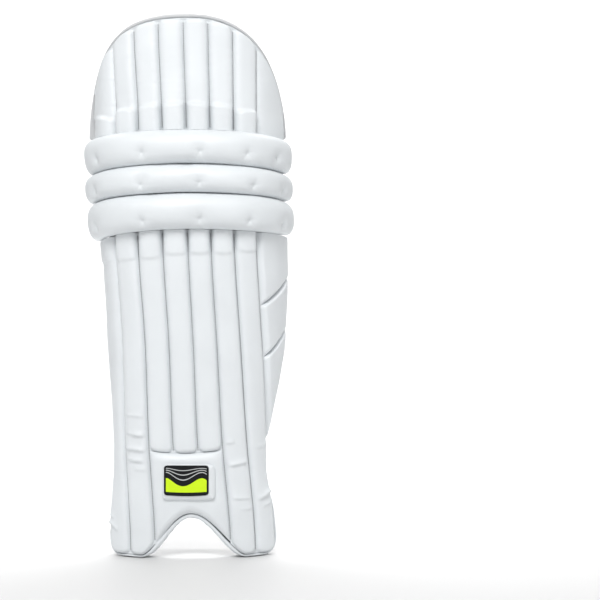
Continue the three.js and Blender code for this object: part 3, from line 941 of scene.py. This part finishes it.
def binding(name, line, length, at_foot):
    """A folded binding outside a line on the shell's edge."""
    end_round = 0.0025
    step = 1e-3
    squareness = 0.62
    taper_length, taper_end = 0.024, 0.12
    ripple_depth, ripple_length = 0.00025, 0.012

    def place(share, up, out):
        across, height = line(share)
        before = line(np.clip(share - step, 0, 1))
        after = line(np.clip(share + step, 0, 1))
        away = np.stack([before[1] - after[1], after[0] - before[0]])
        away = away / np.linalg.norm(away, axis=0)
        closing = rounded(np.minimum(share, 1 - share) * length, end_round)

        ripple = ripple_depth * uneven(share * length, out * 0.01, ripple_length, 180)
        if at_foot:
            near_end = np.minimum(share, 1 - share) * length
            wide = foot_width(across) * mix(taper_end, 1, smooth(near_end, 0, taper_length))
        else:
            wide = mix(BINDING_WIDTH - FOOT_TRIM, BINDING_WIDTH, away[1] ** 2)
        outward = 0.5 + 0.5 * signed_power(up, squareness) * closing
        width = wide * outward + ripple * np.clip(up, 0, 1)
        depth = 0.5 + 0.5 * signed_power(out, squareness) * closing
        rear = -SHELL - BINDING_OVERHANG
        front = GAP + SEAM_THICKNESS + BINDING_OVERHANG
        spot = on_leg(across + away[0] * width, height + away[1] * width, mix(rear, front, depth))
        return spot, np.stack([share * length, depth * (front - rear)], axis=-1)

    return sausage(name, 28, 420, place)


def strap(name, middle):
    """A band of webbing behind the leg, lapped inside both sides of the shell."""
    lap_share = 0.12
    inside = -SHELL - STRAP_GAP

    def place(a, b, c):
        height = middle + STRAP_WIDTH * (b - 0.5)
        edge = np.minimum(b, 1 - b) * STRAP_WIDTH
        thick = STRAP_THICKNESS * (0.5 + (c - 0.5) * (0.55 + 0.45 * rounded(edge, 0.0012)))
        start, end = edge_left(height), edge_right(height)
        left_lap = start + STRAP_LAP * (1 - np.clip(a / lap_share, 0, 1))
        right_lap = end - STRAP_LAP * (1 - np.clip((1 - a) / lap_share, 0, 1))
        lapped = on_leg(np.where(a < 0.5, left_lap, right_lap), height, inside - thick)
        left_end, right_end = on_leg(start, height, inside), on_leg(end, height, inside)
        left_way = left_end - on_leg(start + 0.001, height, inside)
        right_way = right_end - on_leg(end - 0.001, height, inside)
        left_way /= np.linalg.norm(left_way, axis=1)[:, None]
        right_way /= np.linalg.norm(right_way, axis=1)[:, None]
        t = np.clip((a - lap_share) / (1 - 2 * lap_share), 0, 1)[:, None]
        left_bend = left_end + STRAP_SLACK * left_way
        right_bend = right_end + STRAP_SLACK * right_way
        bends = (left_end, left_bend, right_bend, right_end)
        spot = (1 - t) ** 3 * bends[0] + 3 * (1 - t) ** 2 * t * bends[1]
        spot += 3 * (1 - t) * t**2 * bends[2] + t**3 * bends[3]
        way = 3 * (1 - t) ** 2 * (bends[1] - bends[0]) + 6 * (1 - t) * t * (bends[2] - bends[1])
        way += 3 * t**2 * (bends[3] - bends[2])
        way /= np.linalg.norm(way, axis=1)[:, None]
        looped = spot + np.stack([way[:, 1], -way[:, 0], 0 * thick], axis=-1) * thick[:, None]
        free = ((a > lap_share) & (a < 1 - lap_share))[:, None]
        cloth = np.stack([a * 0.40, STRAP_WIDTH * b], axis=-1)
        return np.where(free, looped, lapped), cloth

    return block(name, (150, 12, 1), place)


def along_line(points, run, marks):
    """Points at marks along a line whose points have run so far."""
    return np.stack([np.interp(marks, run, points[:, axis]) for axis in range(3)], axis=-1)


def stitched(name, lines, thread):
    """Thread along lines of points, one short round stitch after another."""
    nudge = 1e-3
    bead = bmesh.new()
    bmesh.ops.create_uvsphere(bead, u_segments=7, v_segments=5, radius=0.5)
    stitch = bpy.data.meshes.new("stitch")
    bead.to_mesh(stitch)
    bead.free()
    bm = bmesh.new()
    for points in lines:
        run = np.concatenate([[0], np.cumsum(np.linalg.norm(np.diff(points, axis=0), axis=1))])
        count = int(run[-1] / thread.pitch)
        marks = (np.arange(count) + 0.5) / count * run[-1]
        ahead = along_line(points, run, marks + nudge)
        behind = along_line(points, run, marks - nudge)
        for spot, way in zip(along_line(points, run, marks), ahead - behind):
            along = Vector(way).normalized()
            turn = along.to_track_quat("Z", "Y").to_matrix().to_4x4()
            size = Matrix.Diagonal((thread.width, thread.width, thread.length, 1))
            matrix = Matrix.Translation(Vector(spot)) @ turn @ size
            stitch.transform(matrix)
            bm.from_mesh(stitch)
            stitch.transform(matrix.inverted())
    bpy.data.meshes.remove(stitch)
    return made_of(name, bm)


def seam_lines(padding):
    """The lines of thread in the valleys between the channels, above and below the rolls."""
    lift, at_roll, at_edge, at_instep, lobe_height = 0.0003, 0.004, 0.005, 0.003, 0.03
    outer_seam = 3
    top, shin = [], []
    out = padding.valley + lift
    for count in range(-outer_seam, outer_seam + 1):
        low = float(roll_line(3, float(seam(count, DOME_BASE)))) + at_roll
        high = float(dome_height(lambda height: seam(count, height), np.zeros(1))[0]) - at_edge
        heights = np.linspace(low, high, 60)
        top.append(on_leg(seam(count, heights), heights, out))
        if count in (-1, 0):
            low = INSTEP_TOP + at_instep
        elif count == outer_seam:
            low = WAIST + at_edge
        else:
            low = float(foot_line(seam(count, lobe_height))) + at_edge
        high = float(roll_line(0, float(seam(count, KNEE_BASE)))) - at_roll
        heights = np.linspace(low, high, 160)
        shin.append(on_leg(seam(count, heights), heights, out))
    return top, shin


def feed(tree, socket, value):
    """Links a node's output to a socket, or sets the socket's own value."""
    if isinstance(value, bpy.types.NodeSocket):
        tree.links.new(value, socket)
    else:
        socket.default_value = value


def wired(tree, made, **values):
    """A node with its settings, in small letters, and its sockets, by their names."""
    for name, value in values.items():
        if name[0].islower():
            setattr(made, name, value)
        else:
            feed(tree, made.inputs[name.replace("_", " ")], value)
    return made


def node(tree, kind, **values):
    return wired(tree, tree.nodes.new(kind), **values)


def finish(name, **values):
    """A material with one shader, its node tree and the shader."""
    made = bpy.data.materials.new(name)
    made.use_nodes = True
    tree = made.node_tree
    skin = next(n for n in tree.nodes if n.type == "BSDF_PRINCIPLED")
    return made, tree, wired(tree, skin, **values)


def noise(tree, place, scale, detail, **values):
    """The number of a noise pattern at a place."""
    made = node(tree, "ShaderNodeTexNoise", Vector=place, Scale=scale, Detail=detail, **values)
    return made.outputs["Fac"]


def ramp(tree, source, low, high, out_low=0, out_high=1):
    """A number carried from one range to another."""
    span = dict(From_Min=low, From_Max=high, To_Min=out_low, To_Max=out_high)
    return node(tree, "ShaderNodeMapRange", Value=source, **span).outputs["Result"]


def computed(tree, operation, first, second=0):
    """The result of an operation on two numbers."""
    made = node(tree, "ShaderNodeMath", operation=operation)
    feed(tree, made.inputs[0], first)
    feed(tree, made.inputs[1], second)
    return made.outputs["Value"]


def blended(tree, factor, first, second, **values):
    """A colour between two, each of which is a colour or an output."""
    made = node(tree, "ShaderNodeMix", data_type="RGBA", **values)
    feed(tree, made.inputs[0], factor)
    for socket, colour in ((made.inputs[6], first), (made.inputs[7], second)):
        feed(tree, socket, (*colour, 1) if isinstance(colour, tuple) else colour)
    return made.outputs[2]


def raised(tree, height, distance, strength, **values):
    """Relief in the surface, over another relief where there is one."""
    made = node(tree, "ShaderNodeBump", Height=height, Strength=strength, Distance=distance, **values)
    return made.outputs["Normal"]


def shade(colour, amount):
    return tuple(part * amount for part in colour)


def leather(colours):
    """Coated white leather: a fine pebbled grain, soft gloss and faint clouds of shade."""
    made, tree, skin = finish("white_coated_leather", Coat_Weight=0.06, Coat_Roughness=0.3)
    place = node(tree, "ShaderNodeTexCoord").outputs["Object"]
    clouds = noise(tree, place, 22, 4, Roughness=0.55)
    folds = noise(tree, place, 120, 3, Distortion=0.6)
    pores = noise(tree, place, 2600, 2)
    grain = node(tree, "ShaderNodeTexVoronoi", feature="DISTANCE_TO_EDGE", Vector=place, Scale=850)
    pebbles = ramp(tree, grain.outputs["Distance"], 0, 0.25)
    white = tuple(colours.leather)
    tint = blended(tree, ramp(tree, clouds, 0.35, 0.7), white, shade(white, 0.965))
    gloss = ramp(tree, clouds, 0.3, 0.7, 0.38, 0.5)
    relief = raised(tree, folds, 0.0006, 0.18)
    relief = raised(tree, pebbles, 0.0001, 0.35, Normal=relief)
    relief = raised(tree, pores, 0.00005, 0.25, Normal=relief)
    wired(tree, skin, Base_Color=tint, Roughness=gloss, Normal=relief)
    return made


def woven(name, colour, thread_width, roughness, depth):
    """Plain cloth with crossing threads that follow the piece's own map."""
    look = dict(Roughness=roughness, Sheen_Weight=0.25, Sheen_Roughness=0.5)
    made, tree, skin = finish(name, **look)
    cloth = node(tree, "ShaderNodeUVMap", uv_map="cloth").outputs["UV"]
    bands = dict(Vector=cloth, Scale=math.pi / (10 * thread_width), Distortion=0.3, Detail=1)
    warp, weft = (node(tree, "ShaderNodeTexWave", bands_direction=way, **bands) for way in "XY")
    crossing = computed(tree, "MULTIPLY", warp.outputs["Fac"], weft.outputs["Fac"])
    clouds = noise(tree, cloth, 40, 4)
    base = blended(tree, ramp(tree, clouds, 0.3, 0.75), colour, shade(colour, 0.93))
    holes = blended(tree, ramp(tree, crossing, 0, 0.4), (0.86, 0.86, 0.86), (1, 1, 1))
    tint = blended(tree, 1.0, base, holes, blend_type="MULTIPLY")
    wired(tree, skin, Base_Color=tint, Normal=raised(tree, crossing, depth, 0.5))
    return made


def patch_finish(colours):
    """The label's face: a dark field with bright hills between thin pale lines."""
    made, tree, skin = finish("printed_label", Roughness=0.55, Specular_IOR_Level=0.12)
    place = node(tree, "ShaderNodeUVMap", uv_map="cloth").outputs["UV"]
    parts = node(tree, "ShaderNodeSeparateXYZ", Vector=place)
    along, up = parts.outputs["X"], parts.outputs["Y"]

    def number(operation, first, second=0):
        return computed(tree, operation, first, second)

    hill = number("SINE", number("MULTIPLY", number("ADD", along, 0.08), 9.0))
    crest = number("ADD", number("MULTIPLY", hill, 0.10), 0.46)
    inside = number("LESS_THAN", number("ABSOLUTE", number("SUBTRACT", along, 0.5)), 0.42)
    body = number("MULTIPLY", number("LESS_THAN", up, crest), number("GREATER_THAN", up, 0.17))
    bright = number("MULTIPLY", body, inside)
    pale = 0
    for level, slope in ((0.62, 0.10), (0.72, 0.07), (0.82, 0.04)):
        line = number("ADD", number("MULTIPLY", hill, slope), level)
        close = number("LESS_THAN", number("ABSOLUTE", number("SUBTRACT", up, line)), 0.012)
        pale = number("MAXIMUM", pale, number("MULTIPLY", close, inside))
    field = blended(tree, bright, tuple(colours.patch), tuple(colours.accent))
    weave = noise(tree, node(tree, "ShaderNodeTexCoord").outputs["Object"], 900, 2)
    face = blended(tree, pale, field, (0.55, 0.57, 0.57))
    wired(tree, skin, Base_Color=face, Normal=raised(tree, weave, 0.0001, 0.3))
    return made


def thread_with_painted_shade_finish(colours):
    """Twisted cotton thread, coloured darker than the real, paler thread: its grey is painted shade for the
    stitch holes.
    """
    made, tree, skin = finish("cotton_thread_painted_shade", Roughness=0.7, Sheen_Weight=0.2)
    twist = noise(tree, node(tree, "ShaderNodeTexCoord").outputs["Object"], 1500, 2)
    # Painted shade: the thread's dark grey stands in for the shadowed holes between the stitches
    painted_shade_grey = tuple(colours.thread)
    tint = blended(tree, twist, painted_shade_grey, shade(painted_shade_grey, 0.8))
    wired(tree, skin, Base_Color=tint, Normal=raised(tree, twist, 0.0001, 0.4))
    return made


# The record's slot for each finish
FINISHES = {}


def finish_of(name):
    """A finish by its plain name, made once from the scene's colours."""
    colours = bpy.context.scene.pad_colours
    makers = {
        "leather": lambda: leather(colours),
        "lining": lambda: woven("brushed_lining", tuple(colours.lining), 0.0007, 0.85, 0.0002),
        "binding": lambda: woven("binding_tape", tuple(colours.binding), 0.0006, 0.65, 0.00015),
        "webbing": lambda: woven("strap_webbing", tuple(colours.webbing), 0.0013, 0.8, 0.0004),
        "patch": lambda: patch_finish(colours),
        "thread": lambda: thread_with_painted_shade_finish(colours),
    }
    if name not in FINISHES:
        FINISHES[name] = makers[name]()
    return FINISHES[name]


def number_setting(name, description, default, **more):
    return bpy.props.FloatProperty(name=name, description=description, default=default, **more)


def length_setting(name, description, default):
    kind = dict(min=0, precision=5, subtype="DISTANCE", unit="LENGTH")
    return number_setting(name, description, default, **kind)


def colour_setting(name, description, default):
    return bpy.props.FloatVectorProperty(
        name=name, description=description, default=default, min=0, max=1, size=3, subtype="COLOR"
    )


class PadPadding(bpy.types.PropertyGroup):
    """How full the padding is, and how its skin lies."""

    valley: length_setting("Valley", "Height of the skin over the backing on a seam", 0.0048)
    margin: length_setting("Seam Margin", "Flat strip beside a seam", 0.0011)
    crown: length_setting("Channel Crown", "Height of a channel", 0.0115)
    side_crown: length_setting("Side Crown", "Height of the smooth side panel", 0.0080)
    wing_crown: length_setting("Wing Crown", "Height of the wing's segments", 0.0105)
    stub_rise: length_setting("Stub Rise", "Extra rise of the channels above the rolls", 0.0050)
    shin_stub_rise: length_setting("Shin Stub Rise", "Extra rise of the channels below the rolls", 0.0022)
    stub_valley: length_setting("Stub Valley", "How much deeper the seams are there", 0.0014)
    instep_crown: length_setting("Instep Crown", "Height of the instep panel", 0.0130)
    roll_proud: length_setting("Roll Depth", "How far the knee rolls stand out", 0.0340)
    tack_depth: length_setting("Tack Depth", "How far a tack draws a roll in", 0.0058)
    lining_swell: length_setting("Lining Swell", "Swell of the lining behind the leg", 0.0015)
    pucker: length_setting("Pucker", "Depth of the folds that the thread draws", 0.0003)
    unevenness: length_setting("Unevenness", "Depth of the stuffing's broad hollows", 0.0004)


class PadStuffing(bpy.types.PropertyGroup):
    """How the stuffing is blown up as cloth."""

    voxel: length_setting("Voxel", "Size of the coarse copy's cells", 0.0045)
    cap: length_setting("Cap", "The most that a point may move", 0.0050)
    blend: length_setting("Blend", "How far around a point the swelling is evened out", 0.0080)
    pressure: number_setting("Pressure", "Pressure inside", 4.0)
    stiffness: number_setting("Stiffness", "How little the skin creases", 2.0)
    tightness: number_setting("Tightness", "How far the skin is drawn in", 0.01)


class PadThread(bpy.types.PropertyGroup):
    """The size of the stitches."""

    pitch: length_setting("Pitch", "Distance from one stitch to the next", 0.0032)
    length: length_setting("Stitch Length", "Length of thread that shows", 0.0019)
    width: length_setting("Thread Width", "Thickness of the thread", 0.0015)


class PadColours(bpy.types.PropertyGroup):
    """The colours of the finishes."""

    leather: colour_setting("Leather", "Coated leather", (0.74, 0.77, 0.79))
    lining: colour_setting("Lining", "Lining behind the leg", (0.74, 0.75, 0.76))
    binding: colour_setting("Binding", "Tape round the dome", (0.62, 0.63, 0.64))
    webbing: colour_setting("Webbing", "Straps", (0.70, 0.71, 0.72))
    patch: colour_setting("Label", "Ground of the label", (0.010, 0.011, 0.012))
    accent: colour_setting("Label Accent", "Bright part of the label", (0.60, 0.85, 0.02))
    # The thread's grey is painted shade: darker than the real thread, it stands in for the shadowed stitch
    # holes
    thread: colour_setting("Thread", "Stitches", (0.21, 0.215, 0.22))
    floor: colour_setting("Floor", "Floor and backdrop", (0.69, 0.69, 0.69))


class PadLight(bpy.types.PropertyGroup):
    """The studio's lights."""

    ambient: number_setting("Ambient", "Strength of the light all round", 0.45)
    far_side: number_setting("Far Side", "Share of it on the far side", 1.5)
    spread: number_setting("Spread", "Cosine at which it starts to grow", -1.0)
    towards: bpy.props.FloatVectorProperty(
        name="Towards", description="Where it is brightest", default=(-1, 0, 0), size=3, subtype="DIRECTION"
    )
    key: number_setting("Key", "Power of the large lamp above", 57.0, unit="POWER")
    backdrop: number_setting("Backdrop", "Power on the backdrop", 80.0, unit="POWER")


class PAD_OT_backing(bpy.types.Operator):
    """Build the padded backing that the channels are sewn to"""

    bl_idname = "battingpad.backing"
    bl_label = "Padded Backing"

    def execute(self, context):
        dress(backing(context.scene.pad_padding), "lining", ["back_pad"])
        return {"FINISHED"}


class PAD_OT_channels(bpy.types.Operator):
    """Build the stuffed channels above and below the knee"""

    bl_idname = "battingpad.channels"
    bl_label = "Stuffed Channels"

    def execute(self, context):
        padding = context.scene.pad_padding
        for number in range(1, CHANNELS + 1):
            dress(top_channel(number, padding), "leather", [f"top_flute_{number}"])
            dress(shin_channel(number, padding), "leather", [f"shin_flute_{number}"])
        dress(top_channel(CHANNELS + 1, padding), "leather", ["top_side_panel"])
        return {"FINISHED"}


class PAD_OT_rolls(bpy.types.Operator):
    """Build the three knee rolls, drawn in at their tacks"""

    bl_idname = "battingpad.rolls"
    bl_label = "Knee Rolls"

    def execute(self, context):
        for index, name in enumerate(("bottom", "middle", "top")):
            roll = knee_roll(index, context.scene.pad_padding, context.scene.pad_stuffing)
            dress(roll, "leather", [f"knee_roll_{name}"])
        return {"FINISHED"}


class PAD_OT_wing(bpy.types.Operator):
    """Build the three bevelled segments of the wing"""

    bl_idname = "battingpad.wing"
    bl_label = "Wing"

    def execute(self, context):
        for index, name in enumerate(("lower", "middle", "upper")):
            segment = wing_segment(index, context.scene.pad_padding)
            dress(segment, "leather", [f"wing_{name}"])
        return {"FINISHED"}


class PAD_OT_instep(bpy.types.Operator):
    """Build the instep panel, the pillow on it and its label"""

    bl_idname = "battingpad.instep"
    bl_label = "Instep and Label"

    def execute(self, context):
        padding = context.scene.pad_padding
        dress(instep_panel(padding), "leather", ["instep_panel"])
        dress(label_plinth(padding), "leather", ["label_plinth"])
        dress(label(padding), "patch", ["label"])
        return {"FINISHED"}


class PAD_OT_bindings(bpy.types.Operator):
    """Build the tape round the dome and the binding round the foot"""

    bl_idname = "battingpad.bindings"
    bl_label = "Bindings"

    def execute(self, context):
        dome = binding("dome_binding", top_binding_line, 0.52, False)
        dress(dome, "binding", ["top_binding"])
        foot = binding("foot_edge_binding", foot_binding_line, 0.46, True)
        dress(foot, "leather", ["foot_binding"])
        return {"FINISHED"}


class PAD_OT_straps(bpy.types.Operator):
    """Build the three bands of webbing behind the leg"""

    bl_idname = "battingpad.straps"
    bl_label = "Straps"

    def execute(self, context):
        for node_name, height in STRAP_HEIGHTS.items():
            band = strap("webbing_" + node_name, height)
            dress(band, "webbing", [node_name])
        return {"FINISHED"}


class PAD_OT_threads(bpy.types.Operator):
    """Sew the thread into the seams"""

    bl_idname = "battingpad.threads"
    bl_label = "Thread"

    def execute(self, context):
        top, shin = seam_lines(context.scene.pad_padding)
        thread = context.scene.pad_thread
        dress(stitched("thread_above_knee", top, thread), "thread", [])
        dress(stitched("thread_on_shin", shin, thread), "thread", [])
        return {"FINISHED"}


def area_light(name, place, target, size, power):
    lamp = bpy.data.lights.new(name, "AREA")
    lamp.size = size
    lamp.energy = power
    holder = bpy.data.objects.new(name, lamp)
    holder.location = place
    holder.rotation_euler = (Vector(target) - Vector(place)).to_track_quat("-Z", "Y").to_euler()
    bpy.context.scene.collection.objects.link(holder)


class PAD_OT_stage(bpy.types.Operator):
    """Set the floor and backdrop, the soft lights and the camera"""

    bl_idname = "battingpad.stage"
    bl_label = "Stage"

    def execute(self, context):
        scene = context.scene
        light = scene.pad_light
        bm = bmesh.new()
        bmesh.ops.create_grid(bm, x_segments=1, y_segments=1, size=FLOOR_HALF)
        for vert in bm.verts:
            vert.co.y = WALL_AT if vert.co.y > 0 else -FLOOR_HALF
        corner = [e for e in bm.edges if all(v.co.y > 0 for v in e.verts)]
        risen = bmesh.ops.extrude_edge_only(bm, edges=corner)["geom"]
        top = [part for part in risen if isinstance(part, bmesh.types.BMVert)]
        bmesh.ops.translate(bm, verts=top, vec=(0, 0, WALL_HEIGHT))
        rounding = dict(offset=WALL_BEND, segments=24, profile=0.5, affect="EDGES", material=-1)
        bmesh.ops.bevel(bm, geom=corner, **rounding)
        floor = made_of("floor", bm)
        colour = (*scene.pad_colours.floor, 1)
        paper = finish("studio_paper", Roughness=0.5, Base_Color=colour, Specular_IOR_Level=0.3)[0]
        floor.data.materials.append(paper)
        world = bpy.data.worlds.new("studio")
        world.use_nodes = True
        tree = world.node_tree
        sky = next(n for n in tree.nodes if n.type == "BACKGROUND")
        facing = node(tree, "ShaderNodeVectorMath", operation="DOT_PRODUCT")
        feed(tree, facing.inputs[0], node(tree, "ShaderNodeTexCoord").outputs["Generated"])
        feed(tree, facing.inputs[1], Vector(light.towards).normalized())
        fall = ramp(tree, facing.outputs["Value"], light.spread, 1)
        colour = blended(tree, fall, (light.far_side,) * 3, (1, 1, 1))
        wired(tree, sky, Strength=light.ambient, Color=colour)
        scene.world = world
        area_light("key", power=light.key, **KEY_LAMP)
        area_light("backdrop_light", power=light.backdrop, **BACKDROP_LAMP)
        camera = bpy.data.cameras.new("camera")
        camera.sensor_width = SENSOR
        camera.lens = SENSOR * CAMERA_AWAY / VIEW_WIDTH
        camera.clip_end = 50
        viewer = bpy.data.objects.new("camera", camera)
        viewer.location = (ORIGIN[0] + CAMERA_ASIDE, ORIGIN[1] - CAMERA_AWAY, CAMERA_UP)
        viewer.rotation_euler = (math.pi / 2, 0, 0)
        scene.collection.objects.link(viewer)
        scene.camera = viewer
        scene.view_settings.view_transform = "Standard"
        return {"FINISHED"}


class PAD_PT_panel(bpy.types.Panel):
    """The pad's sizes, colours and pieces"""

    bl_label = "Batting Pad"
    bl_idname = "PAD_PT_panel"
    bl_space_type = "VIEW_3D"
    bl_region_type = "UI"
    bl_category = "Batting Pad"

    def draw(self, context):
        for name in GROUPS:
            group = getattr(context.scene, name)
            box = self.layout.box()
            for setting in group.bl_rna.properties:
                if setting.identifier not in ("rna_type", "name"):
                    box.prop(group, setting.identifier)
        for operator in OPERATORS:
            self.layout.operator(operator.bl_idname)


GROUPS = {
    "pad_padding": PadPadding,
    "pad_stuffing": PadStuffing,
    "pad_thread": PadThread,
    "pad_colours": PadColours,
    "pad_light": PadLight,
}
OPERATORS = (
    PAD_OT_backing,
    PAD_OT_channels,
    PAD_OT_rolls,
    PAD_OT_wing,
    PAD_OT_instep,
    PAD_OT_bindings,
    PAD_OT_straps,
    PAD_OT_threads,
    PAD_OT_stage,
)


def register():
    for made in (*GROUPS.values(), *OPERATORS, PAD_PT_panel):
        bpy.utils.register_class(made)
    for name, group in GROUPS.items():
        setattr(bpy.types.Scene, name, bpy.props.PointerProperty(type=group))


def unregister():
    for name in GROUPS:
        delattr(bpy.types.Scene, name)
    for made in (PAD_PT_panel, *reversed(OPERATORS), *reversed(tuple(GROUPS.values()))):
        bpy.utils.unregister_class(made)


def main():
    register()
    bpy.ops.battingpad.backing()
    bpy.ops.battingpad.channels()
    bpy.ops.battingpad.rolls()
    bpy.ops.battingpad.wing()
    bpy.ops.battingpad.instep()
    bpy.ops.battingpad.bindings()
    bpy.ops.battingpad.straps()
    bpy.ops.battingpad.threads()
    bpy.ops.battingpad.stage()


if __name__ == "__main__":
    main()
